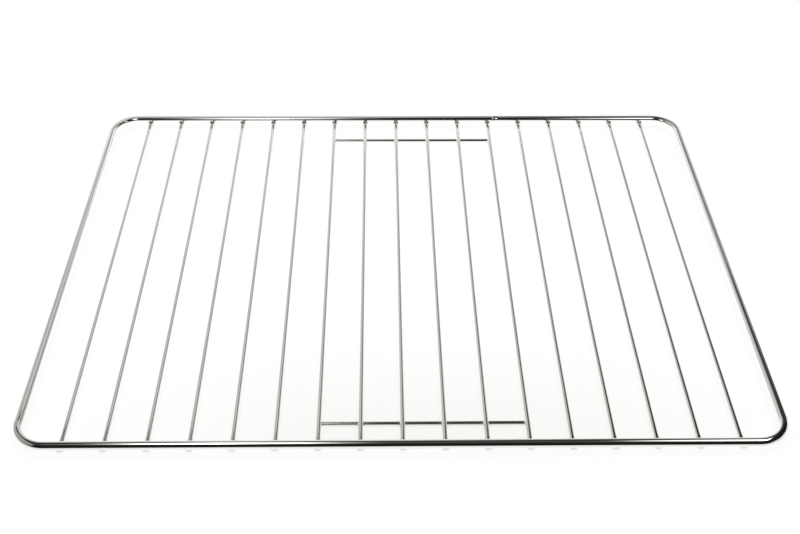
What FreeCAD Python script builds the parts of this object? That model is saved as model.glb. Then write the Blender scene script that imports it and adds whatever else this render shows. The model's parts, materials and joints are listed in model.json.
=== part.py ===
"""Oven shelf rack: a bent wire frame with bars and cross wires welded under it.

Millimetres. +Z is up, +X runs along the long side and +Y towards the back of the oven.
The origin is on the surface that the rack lies on, under the middle of the frame.
The rack lies on its two cross wires. The bars lie on the cross wires, and the frame on the bars.
"""
import FreeCAD, Part
import os

Vector = FreeCAD.Vector

# Driving dimensions
FRAME_WIDTH = 460.0        # outside, along X
FRAME_DEPTH = 360.0        # outside, along Y
FRAME_WIRE = 5.5           # diameter of the frame's wire
BEND_RADIUS = 18.5         # of the corner bends, on the wire's centreline
BAR_WIRE = 3.0             # diameter of the bars
BAR_COUNT = 17
BAR_PITCH = 25.0
CROSS_WIRE = 3.0           # diameter of the two cross wires
CROSS_FIRST_BAR = 7        # the cross wires run from this bar
CROSS_LAST_BAR = 12        # to this one, counted from the left
CROSS_INSET = 22.25        # from the rail's centreline to the cross wire's
WELD_SINK = 0.4            # how far two wires are pressed into each other at a weld
TRIM_PAST = 0.6            # how far a trimmed end reaches past the middle of the wire above it
ELECTRODE_RADIUS = 25.0    # of the rounded welding electrode that presses a bar's end up
ELECTRODE_MARK = 0.35      # depth of the mark that it leaves
CLOSING_WELD_X = 80.5      # butt weld that closes the loop, on the rear rail
CLOSING_WELD_LENGTH = 4.0
CLOSING_WELD_RISE = 0.3    # how far the butt weld swells above the wire

# Sizes that follow
FRAME_R = FRAME_WIRE / 2
BAR_R = BAR_WIRE / 2
CROSS_R = CROSS_WIRE / 2
RAIL_X = FRAME_WIDTH / 2 - FRAME_R        # side rails' centrelines
RAIL_Y = FRAME_DEPTH / 2 - FRAME_R        # front and rear rails' centrelines
CROSS_Z = CROSS_R
BAR_Z = CROSS_Z + CROSS_R + BAR_R - WELD_SINK
FRAME_Z = BAR_Z + BAR_R + FRAME_R - WELD_SINK
CROSS_Y = RAIL_Y - CROSS_INSET
X_AXIS = Vector(1, 0, 0)
Y_AXIS = Vector(0, 1, 0)


def bar_x(number):
    """Place of a bar, counted from 1 at the left."""
    return (number - (BAR_COUNT + 1) / 2) * BAR_PITCH


def rod_along_x(radius, x_start, x_end, y, z):
    return Part.makeCylinder(radius, x_end - x_start, Vector(x_start, y, z), X_AXIS)


def rod_along_y(radius, y_start, y_end, x, z):
    return Part.makeCylinder(radius, y_end - y_start, Vector(x, y_start, z), Y_AXIS)


def centreline():
    """Rounded rectangle that the frame's wire follows, from the middle of the front rail."""
    def bend(side_x, side_y):
        centre = Vector(side_x * (RAIL_X - BEND_RADIUS), side_y * (RAIL_Y - BEND_RADIUS), FRAME_Z)
        to_side = Vector(side_x * BEND_RADIUS, 0, 0)
        to_end = Vector(0, side_y * BEND_RADIUS, 0)
        to_middle = (to_side + to_end) * 0.5 ** 0.5
        points = [centre + to_side, centre + to_middle, centre + to_end]
        return points if side_x == side_y else points[::-1]

    front_middle = Vector(0, -RAIL_Y, FRAME_Z)
    edges = []
    last = front_middle
    for side_x, side_y in ((1, -1), (1, 1), (-1, 1), (-1, -1)):
        points = bend(side_x, side_y)
        edges.append(Part.LineSegment(last, points[0]).toShape())
        edges.append(Part.Arc(*points).toShape())
        last = points[2]
    edges.append(Part.LineSegment(last, front_middle).toShape())
    return Part.Wire(edges)


def closing_weld():
    """Barrel-shaped swelling where the two ends of the frame's wire are butt-welded."""
    half = CLOSING_WELD_LENGTH / 2
    start = Vector(-half, 0, 0)
    end = Vector(half, 0, 0)
    rise_start = Vector(-half, FRAME_R, 0)
    rise_middle = Vector(0, FRAME_R + CLOSING_WELD_RISE, 0)
    rise_end = Vector(half, FRAME_R, 0)
    outline = Part.Wire([
        Part.LineSegment(start, rise_start).toShape(),
        Part.Arc(rise_start, rise_middle, rise_end).toShape(),
        Part.LineSegment(rise_end, end).toShape(),
        Part.LineSegment(end, start).toShape(),
    ])
    barrel = Part.Face(outline).revolve(Vector(0, 0, 0), X_AXIS, 360)
    barrel.translate(Vector(CLOSING_WELD_X, RAIL_Y, FRAME_Z))
    return barrel


def frame_loop():
    """One wire bent round four corners and closed by a butt weld."""
    section = Part.Wire(Part.Circle(Vector(0, -RAIL_Y, FRAME_Z), X_AXIS, FRAME_R).toShape())
    loop = centreline().makePipeShell([section], True, True)
    return loop.fuse(closing_weld()).removeSplitter()


def bar():
    """A bar at X = 0 with a saddle and an electrode mark at each end, where a rail is welded on top."""
    end_y = RAIL_Y + TRIM_PAST
    shape = rod_along_y(BAR_R, -end_y, end_y, 0, BAR_Z)
    electrode_z = BAR_Z - BAR_R + ELECTRODE_MARK - ELECTRODE_RADIUS
    for rail_y in (-RAIL_Y, RAIL_Y):
        rail = rod_along_x(FRAME_R, -BAR_WIRE, BAR_WIRE, rail_y, FRAME_Z)
        electrode = rod_along_x(ELECTRODE_RADIUS, -BAR_WIRE, BAR_WIRE, rail_y, electrode_z)
        shape = shape.cut(rail).cut(electrode)
    return shape


def cross_wire(y):
    """A short wire under the middle bars, with a saddle where each bar is welded on top."""
    x_start = bar_x(CROSS_FIRST_BAR) - TRIM_PAST
    x_end = bar_x(CROSS_LAST_BAR) + TRIM_PAST
    shape = rod_along_x(CROSS_R, x_start, x_end, y, CROSS_Z)
    for number in range(CROSS_FIRST_BAR, CROSS_LAST_BAR + 1):
        shape = shape.cut(rod_along_y(BAR_R, y - CROSS_WIRE, y + CROSS_WIRE, bar_x(number), BAR_Z))
    return shape


def main():
    nodes = {"frame_loop": frame_loop()}
    pattern = bar()
    for number in range(1, BAR_COUNT + 1):
        copy = pattern.copy()
        copy.translate(Vector(bar_x(number), 0, 0))
        nodes["bar_%02d" % number] = copy
    nodes["cross_wire_front"] = cross_wire(-CROSS_Y)
    nodes["cross_wire_rear"] = cross_wire(CROSS_Y)
    os.makedirs("parts", exist_ok=True)
    for name, shape in nodes.items():
        shape.exportStep("parts/%s.step" % name)


main()
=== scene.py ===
"""Oven shelf rack in bright chrome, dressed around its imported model.

Metres. +Z is up, +X runs along the long side and +Y towards the back of the oven. The rack lies on
its two cross wires, the bars lie on the cross wires, and the frame lies on the bars.
"""

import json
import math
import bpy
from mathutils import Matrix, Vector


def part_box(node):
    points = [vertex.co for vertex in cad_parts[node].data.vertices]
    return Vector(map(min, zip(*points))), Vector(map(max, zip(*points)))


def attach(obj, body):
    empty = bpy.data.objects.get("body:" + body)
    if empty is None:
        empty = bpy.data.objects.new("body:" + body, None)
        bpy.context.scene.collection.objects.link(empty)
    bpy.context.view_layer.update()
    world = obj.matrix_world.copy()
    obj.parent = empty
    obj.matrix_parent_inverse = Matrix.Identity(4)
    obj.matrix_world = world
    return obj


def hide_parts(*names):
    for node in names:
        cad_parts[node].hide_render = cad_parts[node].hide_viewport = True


bl_info = {
    "name": "Oven Shelf Rack",
    "version": (1, 0, 0),
    "blender": (4, 5, 0),
    "location": "View3D > Sidebar > Rack",
    "description": "Chrome-plated wire shelf on a white table, built piece by piece",
    "category": "Add Mesh",
}

import bpy
from bpy.props import FloatProperty, FloatVectorProperty, IntProperty, PointerProperty
from mathutils import Matrix, Vector

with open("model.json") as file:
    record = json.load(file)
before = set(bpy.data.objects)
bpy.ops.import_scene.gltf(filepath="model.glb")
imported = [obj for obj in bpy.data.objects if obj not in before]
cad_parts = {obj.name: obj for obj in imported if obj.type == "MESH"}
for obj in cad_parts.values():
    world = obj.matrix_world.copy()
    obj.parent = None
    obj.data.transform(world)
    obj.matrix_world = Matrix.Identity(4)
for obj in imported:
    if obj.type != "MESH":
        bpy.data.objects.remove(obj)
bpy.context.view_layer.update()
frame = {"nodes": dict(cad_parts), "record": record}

RUNNER = [mount for mount in frame["record"]["mounts"] if mount["name"] == "right_runner_edge"][0]
RAIL_X, _, FRAME_Z = RUNNER["pos_m"]
FRAME_R = RUNNER["dims"]["r_mm"] / 1000
RAIL_Y = -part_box("frame_loop")[0][1] - FRAME_R
BEND_RADIUS = RAIL_Y - RUNNER["dims"]["length_mm"] / 2000
BAR_NODES = sorted(name for name in frame["nodes"] if name.startswith("bar_"))
BAR_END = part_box(BAR_NODES[0])[1][1]
RAILS = ("front", "rear")
QUARTER = math.pi / 2
SMOOTH_ANGLE = math.radians(35)    # flatter edges are shaded smooth
SHARP_ANGLE = math.radians(40)     # sharper edges are eased
EASE = 0.00015                     # how far the plating rounds a sharp edge
RUN_END = 0.001                    # short stretch at each end of the frame's straight runs
BAR_WELD_REACH = 0.008             # how far from its welds a bar's plating is duller
CROSS_WELD_REACH = 0.004           # the same on a cross wire
RAIL_CUTTER = 0.008                # length of the rods that cut the saddles and marks into a bar
BAR_CUTTER = 0.006                 # length of the rods that cut the saddles into a cross wire


class RackSizes(bpy.types.PropertyGroup):
    """Sizes of the wires and of their welds."""
    frame_wire: FloatProperty(
        name="Frame wire", description="Diameter of the wire that is bent into the frame",
        default=2 * FRAME_R, min=0.001, precision=5, unit="LENGTH")
    bend_radius: FloatProperty(
        name="Corner bends", description="Radius of the corner bends, on the wire's centreline",
        default=BEND_RADIUS, min=0.001, precision=5, unit="LENGTH")
    bar_wire: FloatProperty(
        name="Bars", description="Diameter of the bars",
        default=0.003, min=0.001, precision=5, unit="LENGTH")
    cross_wire: FloatProperty(
        name="Cross wires", description="Diameter of the two short wires under the bars",
        default=0.003, min=0.001, precision=5, unit="LENGTH")
    weld_sink: FloatProperty(
        name="Weld sink", description="How far two wires are pressed into each other at a weld",
        default=0.0004, min=0, precision=5, unit="LENGTH")
    electrode_mark: FloatProperty(
        name="Electrode mark",
        description="Depth of the mark that the welding electrode leaves under a bar's end",
        default=0.00035, min=0, precision=5, unit="LENGTH")
    electrode_radius: FloatProperty(
        name="Electrode radius",
        description="Rounding of the welding electrode that presses a bar's end up",
        default=0.025, min=0.005, precision=4, unit="LENGTH")
    closing_weld_x: FloatProperty(
        name="Closing weld",
        description="Place of the butt weld that closes the loop, along the rear rail",
        default=0.0805, precision=5, unit="LENGTH")
    closing_weld_length: FloatProperty(
        name="Closing weld length", description="Length of the butt weld's swelling along the wire",
        default=0.004, min=0.001, precision=5, unit="LENGTH")
    closing_weld_rise: FloatProperty(
        name="Closing weld rise", description="How far the butt weld swells above the wire",
        default=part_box("frame_loop")[1][1] - RAIL_Y - FRAME_R, min=0, precision=6, unit="LENGTH")
    end_spread: FloatProperty(
        name="End spread",
        description="How much wider the welding press squeezes a bar's ends, as a share of the bar",
        default=0.4, min=0, max=1, subtype="FACTOR")
    neck: FloatProperty(
        name="Neck",
        description="Depth of the shallow neck that the clamp leaves in a bar beside its rear weld",
        default=0.0001, min=0, max=0.0005, precision=5, unit="LENGTH")
    weld_metal: FloatProperty(
        name="Weld metal",
        description="Height of the metal that a weld squeezes out between a bar and a rail",
        default=0.0015, min=0.0001, precision=5, unit="LENGTH")
    sides: IntProperty(
        name="Sides", description="Number of flats round a wire", default=48, min=12, max=128)


class RackFinish(bpy.types.PropertyGroup):
    """Colours of the plating and of the studio."""
    chrome: FloatVectorProperty(
        name="Chrome", description="Colour of the bright chrome plating",
        subtype="COLOR", size=3, min=0, max=1, default=(0.86, 0.855, 0.825))
    thin_chrome: FloatVectorProperty(
        name="Thin chrome",
        description="Colour of the plating where it is thin, in the corners at the welds",
        subtype="COLOR", size=3, min=0, max=1, default=(0.645, 0.64, 0.615))
    table: FloatVectorProperty(
        name="Table", description="Colour of the white table under the rack",
        subtype="COLOR", size=3, min=0, max=1, default=(1.0, 1.0, 1.0))
    # painted shade: a darker colour given to the table, not a shadow that the lamps cast
    shade: FloatVectorProperty(
        name="Shade", description="Colour of the soft shade on the table behind the front rail",
        subtype="COLOR", size=3, min=0, max=1, default=(0.92, 0.91, 0.895))


def sizes():
    return bpy.context.scene.rack_sizes


def finish():
    return bpy.context.scene.rack_finish


def bar_z():
    """Height of the bars' centrelines."""
    return FRAME_Z - FRAME_R - sizes().bar_wire / 2 + sizes().weld_sink


def cross_z():
    """Height of the cross wires' centrelines."""
    return bar_z() - sizes().bar_wire / 2 - sizes().cross_wire / 2 + sizes().weld_sink


def node_middle(node):
    """Middle of a node's box."""
    low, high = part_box(node)
    return (Vector(low) + Vector(high)) / 2


class Shade:
    """A socket of a node tree, so that shader maths can be written as Python expressions."""

    def __init__(self, tree, socket=None):
        self.tree = tree
        self.socket = socket

    def add(self, kind, settings=None, inputs=None, output=0):
        """Add a node, set it up, fill its sockets with values or links and return one of its outputs."""
        node = self.tree.nodes.new("ShaderNode" + kind)
        for name, setting in (settings or {}).items():
            if name == "stops":
                self.set_stops(node.color_ramp, setting)
            else:
                setattr(node, name, setting)
        for name, value in (inputs or {}).items():
            if isinstance(value, Shade):
                self.tree.links.new(value.socket, node.inputs[name])
            else:
                node.inputs[name].default_value = value
        return Shade(self.tree, node.outputs[output] if len(node.outputs) else None)

    @staticmethod
    def set_stops(ramp, stops):
        """Give a ramp its greys, each with its place."""
        while len(ramp.elements) < len(stops):
            ramp.elements.new(1)
        for element, (place, grey) in zip(ramp.elements, stops):
            element.position = place
            element.color = (grey, grey, grey, 1)

    def maths(self, operation, first, second):
        return self.add("Math", {"operation": operation}, {0: first, 1: second})

    def __add__(self, other):
        return self.maths("ADD", self, other)

    def __radd__(self, other):
        return self.maths("ADD", other, self)

    def __sub__(self, other):
        return self.maths("SUBTRACT", self, other)

    def __rsub__(self, other):
        return self.maths("SUBTRACT", other, self)

    def __mul__(self, other):
        return self.maths("MULTIPLY", self, other)

    def __rmul__(self, other):
        return self.maths("MULTIPLY", other, self)


def new_material(name):
    """An empty node material and the start of its shader maths."""
    material = bpy.data.materials.new(name)
    material.use_nodes = True
    material.node_tree.nodes.clear()
    return material, Shade(material.node_tree)


def wire_chrome(name="wire_chrome", haze=0.0):
    """Bright chrome over drawn wire, with fine marks along it, a faint ripple and duller welds."""
    if name in bpy.data.materials:
        return bpy.data.materials[name]
    material, shade = new_material(name)
    place = shade.add("Attribute", {"attribute_name": "wire"}, output="Vector")
    at_weld = shade.add("Attribute", {"attribute_name": "at_weld"}, output="Fac")
    drawn = place.add("VectorMath", {"operation": "MULTIPLY"}, {0: place, 1: (60, 5200, 5200)})
    marks = drawn.add("TexNoise", None, {"Vector": drawn, "Scale": 1.0, "Detail": 3.0, "Roughness": 0.6})
    waved = place.add("VectorMath", {"operation": "MULTIPLY"}, {0: place, 1: (70, 420, 420)})
    ripple = waved.add("TexNoise", None, {"Vector": waved, "Scale": 1.0, "Detail": 1.0})
    cloud = place.add("TexNoise", None, {"Vector": place, "Scale": 45.0, "Detail": 2.0})
    height = ripple * 0.8 + marks * 0.06
    bump = height.add("Bump", None, {"Height": height, "Strength": 1.0, "Distance": 0.000012}, "Normal")
    dull = at_weld * (0.4 + cloud * 0.6)
    colour = dull.add(
        "Mix", {"data_type": "RGBA"},
        {"Factor": dull * 0.75, "A": (*finish().chrome, 1), "B": (*finish().thin_chrome, 1)}, 2)
    rough = 0.035 + haze + cloud * 0.05 + marks * 0.03 + dull * 0.25
    steel = shade.add("BsdfPrincipled", None, {
        "Base Color": colour, "Metallic": 1.0, "Roughness": rough, "Normal": bump})
    shade.add("OutputMaterial", None, {"Surface": steel})
    return material


def weld_chrome():
    """Chrome over weld metal: lumpier than the wire, and a little duller."""
    name = "weld_chrome"
    if name in bpy.data.materials:
        return bpy.data.materials[name]
    material, shade = new_material(name)
    place = shade.add("TexCoord", output="Object")
    lumps = place.add("TexNoise", None, {"Vector": place, "Scale": 1800.0, "Detail": 2.0})
    grain = place.add("TexNoise", None, {"Vector": place, "Scale": 6000.0, "Detail": 2.0})
    colour = grain.add(
        "Mix", {"data_type": "RGBA"},
        {"Factor": grain, "A": (*finish().chrome, 1), "B": (*finish().thin_chrome, 1)}, 2)
    bump = lumps.add("Bump", None, {"Height": lumps, "Strength": 1.0, "Distance": 0.00008}, "Normal")
    steel = shade.add("BsdfPrincipled", None, {
        "Base Color": colour, "Metallic": 1.0, "Roughness": 0.42 + grain * 0.15, "Normal": bump})
    shade.add("OutputMaterial", None, {"Surface": steel})
    return material


def table_white():
    """White that the camera sees as plain white, with a painted soft shade behind the front rail.

    The chrome mirrors the table brighter than white, from painted light in its colour, and most so in
    the middle.
    """
    material, shade = new_material("white_table")
    camera_ray, glossy_ray, clear_ray = [
        shade.add("LightPath", output=name)
        for name in ("Is Camera Ray", "Is Glossy Ray", "Is Transmission Ray")]
    spot = shade.add("TexCoord", output="Object")
    along = shade.add("SeparateXYZ", None, {0: spot}, "X") + 0.5
    ahead = shade.add("SeparateXYZ", None, {0: spot}, "Y") * -5.0
    depth = shade.add("SeparateXYZ", None, {0: spot}, "Y") * 2.5 + 0.5
    middle = along.add("ValToRGB", {"stops": (
        (0.24, 0.0), (0.38, 0.45), (0.46, 0.9), (0.56, 1.0), (0.62, 0.75), (0.72, 0.2), (0.8, 0.0))},
        {0: along})
    front = ahead.add("ValToRGB", {"stops": (
        (0.15, 0.0), (0.42, 0.15), (0.62, 0.55), (0.8, 1.0), (0.835, 1.0), (0.86, 0.0))}, {0: ahead})
    # painted shade: the table's colour is darkened behind the front rail, most in the middle
    painted_shade_mask = middle * front
    shaded = painted_shade_mask.add("Mix", {"data_type": "RGBA"}, {
        "Factor": painted_shade_mask, "A": (*finish().table, 1), "B": (*finish().shade, 1)}, 2)
    # painted reflection: glossy rays see the table's colour raised to up to one and a half times white,
    # most in the middle of its depth
    painted_glare = depth.add("ValToRGB", {"stops": (
        (0.05, 1.06), (0.125, 1.1), (0.2, 1.2), (0.28, 1.3), (0.35, 1.4), (0.5, 1.5), (0.65, 1.45),
        (0.75, 1.36), (0.825, 1.27), (0.9, 1.2))}, {0: depth})
    painted_reflection = painted_glare.add("VectorMath", {"operation": "MULTIPLY"}, {0: painted_glare, 1: shaded})
    colour = shaded.add("Mix", {"data_type": "RGBA"}, {
        "Factor": glossy_ray, "A": shaded, "B": painted_reflection}, 2)
    white = shade.add("Emission", None, {"Color": colour, "Strength": 1.0})
    cloth = shade.add("BsdfDiffuse", None, {"Color": (*finish().table, 1)})
    lit = (camera_ray + glossy_ray + clear_ray) * 0.93    # the rest keeps the wires' shadow
    mixed = shade.add("MixShader", None, {0: lit, 1: cloth, 2: white})
    polish = shade.add("BsdfGlossy", None, {"Color": (1, 1, 1, 1), "Roughness": 0.05})
    gloss = shade.add("Fresnel", None, {"IOR": 1.49}) * glossy_ray
    top = shade.add("MixShader", None, {0: gloss, 1: mixed, 2: polish})
    shade.add("OutputMaterial", None, {"Surface": top})
    return material


def start_wire(name, radius, centre, along):
    """Add the open circle that a wire is drawn from, and go into edit mode with it selected."""
    turn = {"X": (0, QUARTER, 0), "Y": (QUARTER, 0, 0)}[along]
    bpy.ops.object.select_all(action="DESELECT")
    bpy.ops.mesh.primitive_circle_add(
        vertices=sizes().sides, radius=radius, fill_type="NOTHING", location=centre, rotation=turn)
    piece = bpy.context.object
    piece.name = name
    piece.data.name = name
    bpy.ops.object.transform_apply(location=True, rotation=True, scale=True)
    bpy.ops.object.mode_set(mode="EDIT")
    bpy.ops.mesh.select_all(action="SELECT")
    return piece


def draw_wire(x=0.0, y=0.0):
    """Extrude the selected end of a wire straight on."""
    bpy.ops.mesh.extrude_region_move(TRANSFORM_OT_translate={"value": (x, y, 0)})


def close_tube():
    """Merge what meets, turn all faces outwards and leave edit mode."""
    bpy.ops.mesh.select_all(action="SELECT")
    bpy.ops.mesh.remove_doubles(threshold=1e-7)
    bpy.ops.mesh.normals_make_consistent(inside=False)
    bpy.ops.object.mode_set(mode="OBJECT")


def cap_ends():
    """Close both open ends of a straight tube with a flat face each."""
    bpy.ops.mesh.select_all(action="DESELECT")
    bpy.ops.mesh.select_non_manifold(extend=False, use_wire=False, use_multi_face=False,
                                     use_non_contiguous=False, use_verts=False)
    bpy.ops.mesh.edge_face_add()
    close_tube()


def rod(radius, length, centre, along, vertices):
    """A plain rod, used only to cut with."""
    turn = {"X": (0, QUARTER, 0), "Y": (QUARTER, 0, 0)}[along]
    bpy.ops.object.select_all(action="DESELECT")
    bpy.ops.mesh.primitive_cylinder_add(
        vertices=vertices, radius=radius, depth=length, location=centre, rotation=turn)
    return bpy.context.object


def discard(piece):
    """Take a helper away, with its mesh."""
    mesh = piece.data
    bpy.data.objects.remove(piece)
    bpy.data.meshes.remove(mesh)


def cut_with(piece, cutters):
    """Cut a piece with the given rods, and take the rods away."""
    for cutter in cutters:
        bpy.ops.object.select_all(action="DESELECT")
        bpy.context.view_layer.objects.active = piece
        piece.select_set(True)
        cut = piece.modifiers.new("cut", "BOOLEAN")
        cut.operation = "DIFFERENCE"
        cut.solver = "EXACT"
        cut.object = cutter
        bpy.ops.object.modifier_apply(modifier=cut.name)
        discard(cutter)


def ease_edges(piece):
    """Round the sharp edges of a piece slightly, as plating does, and shade it smooth."""
    bpy.ops.object.select_all(action="DESELECT")
    bpy.context.view_layer.objects.active = piece
    piece.select_set(True)
    ease = piece.modifiers.new("ease", "BEVEL")
    ease.width = EASE
    ease.segments = 2
    ease.limit_method = "ANGLE"
    ease.angle_limit = SHARP_ANGLE
    bpy.ops.object.modifier_apply(modifier=ease.name)
    bpy.ops.object.shade_smooth_by_angle(angle=SMOOTH_ANGLE)


def write_attribute(piece, name, kind, values):
    """Store a value at each point of a piece, for its material to read."""
    attribute = piece.data.attributes.new(name, kind, "POINT")
    key = "vector" if kind == "FLOAT_VECTOR" else "value"
    for item, value in zip(attribute.data, values):
        setattr(item, key, value)


def dress(piece, material, *nodes):
    """Give a finished piece its material, hang it on the root body, and hide the model's nodes that it
    stands for.
    """
    piece.data.materials.clear()
    piece.data.materials.append(material)
    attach(piece, "root")
    if nodes:
        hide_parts(*nodes)


def unrolled(point):
    """Place of a point of the frame on the straightened wire: along it, then across."""
    straight_x = RAIL_X - BEND_RADIUS
    straight_y = RAIL_Y - BEND_RADIUS
    bend = QUARTER * BEND_RADIUS
    if abs(point.x) > straight_x and abs(point.y) > straight_y:
        corner = Vector((math.copysign(straight_x, point.x), math.copysign(straight_y, point.y)))
        arm = point.xy - corner
        turn = math.atan2(arm.y, arm.x)
        quarter = {(1, 1): 0, (-1, 1): 1, (-1, -1): 2, (1, -1): 3}[
            (int(math.copysign(1, point.x)), int(math.copysign(1, point.y)))]
        straights = (0, 2 * straight_x, 2 * straight_x + 2 * straight_y, 4 * straight_x + 2 * straight_y)
        turned = (turn - quarter * QUARTER) % (2 * math.pi)
        along = straights[quarter] + quarter * bend + turned * BEND_RADIUS
        out = arm.length - BEND_RADIUS
    elif abs(point.y) > straight_y:
        if point.y > 0:
            along = bend + straight_x - point.x
        else:
            along = 3 * bend + 3 * straight_x + 2 * straight_y + point.x
        out = abs(point.y) - RAIL_Y
    else:
        if point.x < 0:
            along = 2 * bend + 2 * straight_x + straight_y - point.y
        else:
            along = 4 * bend + 4 * straight_x + 3 * straight_y + point.y
        out = abs(point.x) - RAIL_X
    return (along, out, point.z - FRAME_Z)


class RACK_OT_frame(bpy.types.Operator):
    """Bend one wire round four corners and close it with a butt weld on the rear rail"""
    bl_idname = "rack.frame"
    bl_label = "Frame wire"
    bl_options = {"REGISTER", "UNDO"}

    def execute(self, context):
        bend = sizes().bend_radius
        straight_x = RAIL_X - bend
        straight_y = RAIL_Y - bend
        half = sizes().closing_weld_length / 2
        weld_x = sizes().closing_weld_x
        start = (weld_x - half, RAIL_Y, FRAME_Z)
        frame_wire = start_wire("frame_wire", sizes().frame_wire / 2, start, "X")
        self.draw_run(x=-straight_x - (weld_x - half))
        self.bend_corner(-straight_x, straight_y)
        self.draw_run(y=-2 * straight_y)
        self.bend_corner(-straight_x, -straight_y)
        self.draw_run(x=2 * straight_x)
        self.bend_corner(straight_x, -straight_y)
        self.draw_run(y=2 * straight_y)
        self.bend_corner(straight_x, straight_y)
        self.draw_run(x=weld_x + half - straight_x)
        self.swell_closing_weld(weld_x, half)
        close_tube()
        points = [vertex.co for vertex in frame_wire.data.vertices]
        write_attribute(frame_wire, "wire", "FLOAT_VECTOR", [unrolled(point) for point in points])
        write_attribute(frame_wire, "at_weld", "FLOAT", [0.0] * len(points))
        bpy.ops.object.shade_smooth_by_angle(angle=SMOOTH_ANGLE)
        dress(frame_wire, wire_chrome(), "frame_loop")
        return {"FINISHED"}

    @staticmethod
    def draw_run(x=0.0, y=0.0):
        """Draw a straight run, with a short stretch at each end so that its shading stays straight."""
        end = RUN_END / (abs(x) + abs(y))
        for share in (end, 1 - 2 * end, end):
            draw_wire(x=x * share, y=y * share)

    @staticmethod
    def bend_corner(x, y):
        """Bend the wire a quarter turn round the given centre."""
        bpy.ops.mesh.spin(steps=24, angle=-QUARTER, center=(x, y, FRAME_Z), axis=(0, 0, 1))

    @staticmethod
    def swell_closing_weld(weld_x, half):
        """Draw the last stretch in short steps, and swell each of them."""
        steps = 12
        radius = sizes().frame_wire / 2
        size = radius
        for step in range(1, steps + 1):
            draw_wire(x=-2 * half / steps)
            swollen = radius + sizes().closing_weld_rise * math.sin(math.pi * step / steps)
            x = weld_x + half - 2 * half * step / steps
            bpy.ops.transform.resize(
                value=(1, swollen / size, swollen / size), center_override=(x, RAIL_Y, FRAME_Z))
            size = swollen


class RACK_OT_bars(bpy.types.Operator):
    """Model one bar with its welded ends, and lay a copy in each place"""
    bl_idname = "rack.bars"
    bl_label = "Bars"
    bl_options = {"REGISTER", "UNDO"}

    # Rings round a bar near its end: how far inside the rail, share of the spread and share of the neck
    END_RINGS = (
        (0.0015, 1.0, 0.0), (0.0035, 0.85, 0.0), (0.0055, 0.5, 0.0), (0.0075, 0.2, 0.0),
        (0.0085, 0.1, 0.2), (0.0095, 0.0, 0.75), (0.0105, 0.0, 1.0), (0.0115, 0.0, 0.75),
        (0.0125, 0.0, 0.2), (0.0135, 0.0, 0.0), (0.0145, 0.0, 0.0))
    # Rings round its plain middle, from front to rear
    MIDDLE_RINGS = (-0.12, -0.06, 0.0, 0.06, 0.12)

    def execute(self, context):
        pattern = self.pattern()
        for node in BAR_NODES:
            mesh = pattern.data.copy()
            piece = bpy.data.objects.new("wire_" + node, mesh)
            context.scene.collection.objects.link(piece)
            x = node_middle(node).x
            mesh.transform(Matrix.Translation((x, 0, 0)))
            mesh.name = piece.name
            points = [vertex.co for vertex in mesh.vertices]
            shift = 3 * x    # so that no two bars have the same marks
            write_attribute(piece, "wire", "FLOAT_VECTOR", [
                (point.y + shift, point.x - x, point.z - bar_z()) for point in points])
            write_attribute(piece, "at_weld", "FLOAT", [self.near_rail(point) for point in points])
            dress(piece, wire_chrome(), node)
        discard(pattern)
        return {"FINISHED"}

    @staticmethod
    def near_rail(point):
        """How dull the plating is at a point of a bar, from 1 at a rail to 0."""
        return max(0.0, 1 - abs(abs(point.y) - RAIL_Y) / BAR_WELD_REACH)

    def pattern(self):
        """A bar at X = 0 with squeezed ends, each with a saddle on top and an electrode mark below.

        Only the rear end has a neck beside its weld.
        """
        radius = sizes().bar_wire / 2
        bar = start_wire("bar_pattern", radius, (0, -BAR_END, bar_z()), "Y")
        rings = [(-RAIL_Y + inwards, spread, 0.0) for inwards, spread, _ in self.END_RINGS]
        rings += [(y, 0.0, 0.0) for y in self.MIDDLE_RINGS]
        rings += [(RAIL_Y - inwards, spread, neck) for inwards, spread, neck in reversed(self.END_RINGS)]
        rings += [(BAR_END, 1.0, 0.0)]
        last_y, last_width, last_height = -BAR_END, 1 + sizes().end_spread, 1.0
        bpy.ops.transform.resize(value=(last_width, 1, 1), center_override=(0, last_y, bar_z()))
        for y, spread, neck in rings:
            draw_wire(y=y - last_y)
            width = 1 + sizes().end_spread * spread
            height = 1 - sizes().neck / radius * neck
            bpy.ops.transform.resize(
                value=(width / last_width, 1, height / last_height), center_override=(0, y, bar_z()))
            last_y, last_width, last_height = y, width, height
        cap_ends()
        round_off = sizes().electrode_radius
        electrode_z = bar_z() - radius + sizes().electrode_mark - round_off
        cutters = []
        for rail_y in (-RAIL_Y, RAIL_Y):
            cutters.append(rod(FRAME_R, RAIL_CUTTER, (0, rail_y, FRAME_Z), "X", vertices=64))
            cutters.append(rod(round_off, RAIL_CUTTER, (0, rail_y, electrode_z), "X", vertices=256))
        cut_with(bar, cutters)
        ease_edges(bar)
        return bar


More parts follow.
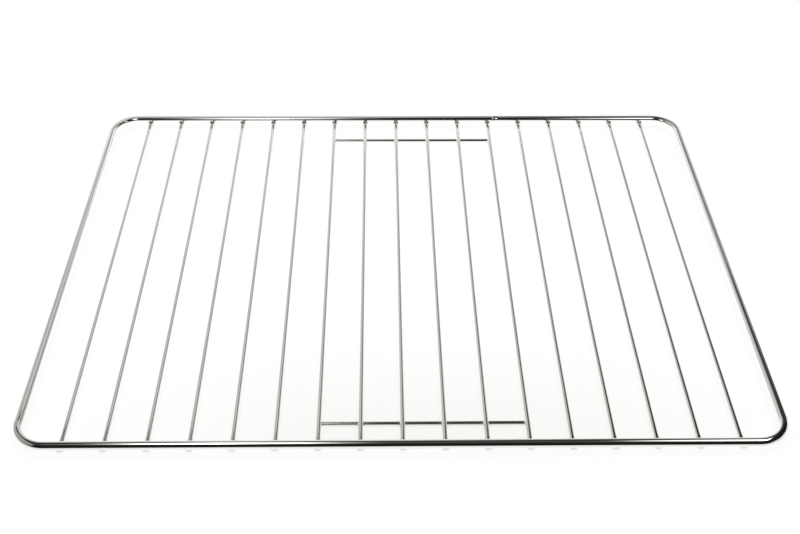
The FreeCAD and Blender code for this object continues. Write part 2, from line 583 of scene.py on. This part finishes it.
class RACK_OT_cross_wires(bpy.types.Operator):
    """Lay the two short wires under the middle bars"""
    bl_idname = "rack.cross_wires"
    bl_label = "Cross wires"
    bl_options = {"REGISTER", "UNDO"}

    def execute(self, context):
        for rail in RAILS:
            node = "cross_wire_" + rail
            (left, *_), (right, *_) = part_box(node)
            y = node_middle(node).y
            wire = start_wire(rail + "_cross_wire", sizes().cross_wire / 2, (left, y, cross_z()), "X")
            places = [node_middle(bar).x for bar in BAR_NODES if left < node_middle(bar).x < right]
            rings = [place + step for place in places for step in (-0.005, -0.002, 0.002, 0.005)]
            last = left
            for x in [ring for ring in rings if left < ring < right] + [right]:
                draw_wire(x=x - last)
                last = x
            cap_ends()
            cut_with(wire, [
                rod(sizes().bar_wire / 2, BAR_CUTTER, (place, y, bar_z()), "Y", sizes().sides)
                for place in places])
            ease_edges(wire)
            points = [vertex.co for vertex in wire.data.vertices]
            shift = 5 * y    # so that the two wires have different marks
            write_attribute(wire, "wire", "FLOAT_VECTOR", [
                (point.x + shift, point.y - y, point.z - cross_z()) for point in points])
            write_attribute(wire, "at_weld", "FLOAT", [
                max(0.0, 1 - min(abs(point.x - place) for place in places) / CROSS_WELD_REACH)
                for point in points])
            dress(wire, wire_chrome("cross_wire_chrome", 0.06), node)
        return {"FINISHED"}


class RACK_OT_welds(bpy.types.Operator):
    """Put the squeezed-out metal into every weld"""
    bl_idname = "rack.welds"
    bl_label = "Weld metal"
    bl_options = {"REGISTER", "UNDO"}

    def execute(self, context):
        bars = [node_middle(bar).x for bar in BAR_NODES]
        height = sizes().weld_metal
        top = bar_z() + sizes().bar_wire / 2 - 0.0001    # just inside the bars
        inner_y = RAIL_Y - 0.001                         # most of the metal is squeezed inwards
        lens = self.lens("rail_weld", half_x=0.0021, half_y=0.0019, half_z=height / 2, fall=0.00055)
        for rail, y in zip(RAILS, (-inner_y, inner_y)):
            self.lay(rail + "_rail_welds", lens, [(x, y, top) for x in bars])
        discard(lens)
        low = bar_z() - sizes().bar_wire / 2 + sizes().weld_sink / 2
        lens = self.lens("cross_weld", half_x=0.0014, half_y=0.0015, half_z=height / 3, fall=0.0002)
        lens.data.transform(Matrix.Rotation(QUARTER, 4, "Z"))
        for rail in RAILS:
            node = "cross_wire_" + rail
            (left, *_), (right, *_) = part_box(node)
            y = node_middle(node).y
            self.lay(rail + "_cross_welds", lens, [(x, y, low) for x in bars if left < x < right])
        discard(lens)
        return {"FINISHED"}

    @staticmethod
    def lens(name, half_x, half_y, half_z, fall):
        """A lens of weld metal between two crossing wires, falling at its sides round the lower wire."""
        bpy.ops.object.select_all(action="DESELECT")
        bpy.ops.mesh.primitive_uv_sphere_add(segments=32, ring_count=16, radius=half_y)
        lens = bpy.context.object
        lens.name = name
        bpy.ops.object.mode_set(mode="EDIT")
        bpy.ops.mesh.select_all(action="SELECT")
        bpy.ops.transform.resize(value=(half_x / half_y, 1, half_z / half_y), center_override=(0, 0, 0))
        bpy.ops.transform.vertex_random(offset=half_z / 12, seed=3)
        bpy.ops.object.mode_set(mode="OBJECT")
        for vertex in lens.data.vertices:
            vertex.select = abs(vertex.co.x) > 0.9 * half_x
        bpy.ops.object.mode_set(mode="EDIT")
        bpy.ops.transform.translate(
            value=(0, 0, -fall), use_proportional_edit=True, proportional_edit_falloff="SMOOTH",
            proportional_size=half_y)
        bpy.ops.object.mode_set(mode="OBJECT")
        return lens

    @staticmethod
    def lay(name, lens, places):
        """Lay a copy of a lens in each place, and join them into one piece."""
        bpy.ops.object.select_all(action="DESELECT")
        for place in places:
            mesh = lens.data.copy()
            mesh.transform(Matrix.Translation(place))
            copy = bpy.data.objects.new(name, mesh)
            bpy.context.scene.collection.objects.link(copy)
            copy.select_set(True)
            bpy.context.view_layer.objects.active = copy
        bpy.ops.object.join()
        piece = bpy.context.object
        piece.name = name
        piece.data.name = name
        bpy.ops.object.shade_smooth()
        dress(piece, weld_chrome())


class RACK_OT_stage(bpy.types.Operator):
    """Set up the white table, the studio light and the camera"""
    bl_idname = "rack.stage"
    bl_label = "Table, light and camera"
    bl_options = {"REGISTER", "UNDO"}

    def execute(self, context):
        context.scene.view_settings.view_transform = "Standard"
        self.table()
        self.room(context.scene)
        fill = self.lamp("table_light", place=(0, 0, 1.6), width=2.0, depth=2.0, radiance=3.4)
        fill.visible_glossy = False
        self.cards()
        self.camera(context.scene)
        return {"FINISHED"}

    def cards(self):
        """Softboxes over the front, a roof and walls behind, and the dark front of the room."""
        self.card(
            "left_softbox", place=(-0.175, -0.1675, 0.41), width=0.35, height=0.335,
            shine=5.0, fade=0.45,
            stops=((0.0, 0.01), (0.12, 0.025), (0.18, 0.04), (0.25, 0.13), (0.33, 0.4), (0.39, 0.55),
                   (0.52, 1.0), (0.66, 0.5), (0.74, 0.4), (0.79, 0.28), (0.85, 0.12), (0.93, 0.03),
                   (1.0, 0.012)))
        self.card(
            "right_softbox", place=(0.315, -0.105, 0.41), width=0.25, height=0.31,
            shine=3.8, fade=0.45,
            stops=((0.04, 0.03), (0.09, 0.08), (0.18, 0.25), (0.28, 0.4), (0.44, 0.7), (0.54, 0.8),
                   (1.0, 0.8)))
        self.card(
            "near_roof", place=(-0.1, 0.255, 0.35), width=1.3, height=0.21,
            stops=((0.0, 0.41), (0.27, 0.47), (0.38, 0.54), (0.47, 0.68), (0.53, 0.65), (0.58, 0.54),
                   (0.62, 0.38), (0.66, 0.26), (0.70, 0.12), (0.76, 0.05), (0.84, 0.04), (0.92, 0.05),
                   (1.0, 0.06)))
        self.card(
            "far_roof", place=(-0.1, 0.48, 0.35), width=1.3, height=0.24,
            stops=((0.0, 0.41), (0.27, 0.47), (0.38, 0.54), (0.47, 0.68), (0.53, 0.65), (0.58, 0.54),
                   (0.62, 0.42), (0.66, 0.34), (0.70, 0.24), (0.76, 0.18), (0.84, 0.28), (0.89, 0.36),
                   (0.95, 0.28), (1.0, 0.25)))
        self.card(
            "low_wall", place=(0, 0.6, 0.1425), turn=(90, 0, 0), width=2.4, height=0.285,
            stops=((0.0, 0.63), (0.25, 0.82), (0.46, 1.0), (0.56, 1.0), (0.625, 0.73), (0.73, 0.6),
                   (0.83, 0.54), (0.90, 0.09), (1.0, 0.04)))
        self.card(
            "back_card", place=(0, 1.2, 0.5), turn=(90, 0, 0), width=4.0, height=1.0,
            stops=((0.0, 0.6), (0.35, 0.56), (0.43, 0.47), (0.5, 0.33), (0.57, 0.25), (0.64, 0.22),
                   (0.70, 0.4), (0.8, 0.4), (0.86, 0.05), (1.0, 0.04)))
        self.card(
            "left_card", place=(-1.5, -0.2, 1.0), turn=(90, 0, 90), width=2.4, height=2.0,
            stops=((0.0, 0.15), (0.3, 0.32), (1.0, 0.45)))
        dark = ((0.0, 0.012), (1.0, 0.012))
        self.card("dark_front", place=(0, -0.85, 0.0002), width=2.4, height=1.2, stops=dark)
        self.card(
            "dark_curtain", place=(0, -1.44, 0.25), turn=(90, 0, 0), width=3.0, height=0.5, stops=dark)

    @staticmethod
    def table():
        """A white table top with a low white wall far round it."""
        bpy.ops.object.select_all(action="DESELECT")
        bpy.ops.mesh.primitive_circle_add(
            vertices=96, radius=12, fill_type="NGON", location=(0, 0, -0.00005))
        table = bpy.context.object
        table.name = "white_table"
        bpy.ops.object.mode_set(mode="EDIT")
        bpy.ops.mesh.select_all(action="SELECT")
        bpy.ops.mesh.region_to_loop()
        bpy.ops.mesh.extrude_edges_move(TRANSFORM_OT_translate={"value": (0, 0, 1.05)})
        bpy.ops.object.mode_set(mode="OBJECT")
        table.data.materials.append(table_white())

    @staticmethod
    def room(scene):
        """A dark room with a dim ceiling, which the chrome mirrors between the lamps."""
        world = bpy.data.worlds.new("dark_room")
        scene.world = world
        world.use_nodes = True
        world.node_tree.nodes.clear()
        shade = Shade(world.node_tree)
        height = shade.add("SeparateXYZ", None, {0: shade.add("TexCoord", output="Generated")}, "Z")
        grey = height.add("ValToRGB", {"stops": (
            (0.0, 0.01), (0.7, 0.01), (0.85, 0.025), (0.95, 0.055), (1.0, 0.065))}, {0: height})
        dark = shade.add("Background", None, {"Color": grey, "Strength": 1.0})
        shade.add("OutputWorld", None, {"Surface": dark})

    @staticmethod
    def lamp(name, place, width, depth, radiance):
        """An area lamp that hangs face down, of a given brightness whatever its size."""
        data = bpy.data.lights.new(name, "AREA")
        data.shape = "RECTANGLE"
        data.size = width
        data.size_y = depth
        data.energy = radiance * math.pi * width * depth
        lamp = bpy.data.objects.new(name, data)
        lamp.location = place
        lamp.visible_camera = False
        bpy.context.scene.collection.objects.link(lamp)
        return lamp

    @staticmethod
    def card(name, place, width, height, stops, turn=(0, 0, 0), shine=1.0, fade=0.0):
        """A lit card that only the chrome mirrors, with its brightness given from left to right.

        The given share of its depth fades out towards the back.
        """
        bpy.ops.object.select_all(action="DESELECT")
        bpy.ops.mesh.primitive_plane_add(
            size=1, location=place, rotation=[math.radians(angle) for angle in turn])
        card = bpy.context.object
        card.name = name
        card.scale = (width, height, 1)
        material, shade = new_material(name)
        spot = shade.add("TexCoord", output="Object")
        across = shade.add("SeparateXYZ", None, {0: spot}, "X") + 0.5
        grey = across.add("ValToRGB", {"stops": stops}, {0: across})
        if fade:
            back = shade.add("SeparateXYZ", None, {0: spot}, "Y") + 0.5
            falloff = ((1.0, 1.0), (0.75, 0.6), (0.5, 0.2), (0.25, 0.05), (0.0, 0.0))
            edge = back.add("ValToRGB", {"stops": [
                (1 - fade * share, level) for share, level in falloff]}, {0: back})
            grey = grey.add("VectorMath", {"operation": "MULTIPLY"}, {0: grey, 1: edge})
        glow = shade.add("Emission", None, {"Color": grey, "Strength": shine})
        shade.add("OutputMaterial", None, {"Surface": glow})
        card.data.materials.append(material)
        for ray in ("camera", "diffuse", "shadow"):
            setattr(card, "visible_" + ray, False)

    @staticmethod
    def camera(scene):
        """Fitted to the photograph's rails and bars."""
        data = bpy.data.cameras.new("camera")
        data.sensor_width = 36.0
        data.lens = 52.39
        data.clip_start = 0.01
        data.clip_end = 100
        camera = bpy.data.objects.new("camera", data)
        yaw = Matrix.Rotation(math.radians(-1.23), 4, "Z")
        tilt = Matrix.Rotation(math.radians(50.786), 4, "X")
        roll = Matrix.Rotation(math.radians(0.607), 4, "Z")
        camera.matrix_world = Matrix.Translation((-0.0128, -0.63728, 0.51653)) @ yaw @ tilt @ roll
        scene.collection.objects.link(camera)
        scene.camera = camera


class RACK_PT_panel(bpy.types.Panel):
    """The rack's pieces, sizes and finish"""
    bl_idname = "RACK_PT_panel"
    bl_label = "Oven shelf rack"
    bl_space_type = "VIEW_3D"
    bl_region_type = "UI"
    bl_category = "Rack"

    def draw(self, context):
        for operator in OPERATORS:
            self.layout.operator(operator.bl_idname)
        for group in (context.scene.rack_sizes, context.scene.rack_finish):
            column = self.layout.column(align=True)
            for name in group.__annotations__:
                column.prop(group, name)


OPERATORS = (RACK_OT_frame, RACK_OT_bars, RACK_OT_cross_wires, RACK_OT_welds, RACK_OT_stage)
CLASSES = (RackSizes, RackFinish, *OPERATORS, RACK_PT_panel)


def register():
    for item in CLASSES:
        bpy.utils.register_class(item)
    bpy.types.Scene.rack_sizes = PointerProperty(type=RackSizes)
    bpy.types.Scene.rack_finish = PointerProperty(type=RackFinish)


def unregister():
    del bpy.types.Scene.rack_finish
    del bpy.types.Scene.rack_sizes
    for item in reversed(CLASSES):
        bpy.utils.unregister_class(item)


def main():
    register()
    bpy.ops.rack.frame()
    bpy.ops.rack.bars()
    bpy.ops.rack.cross_wires()
    bpy.ops.rack.welds()
    bpy.ops.rack.stage()


if __name__ == "__main__":
    main()
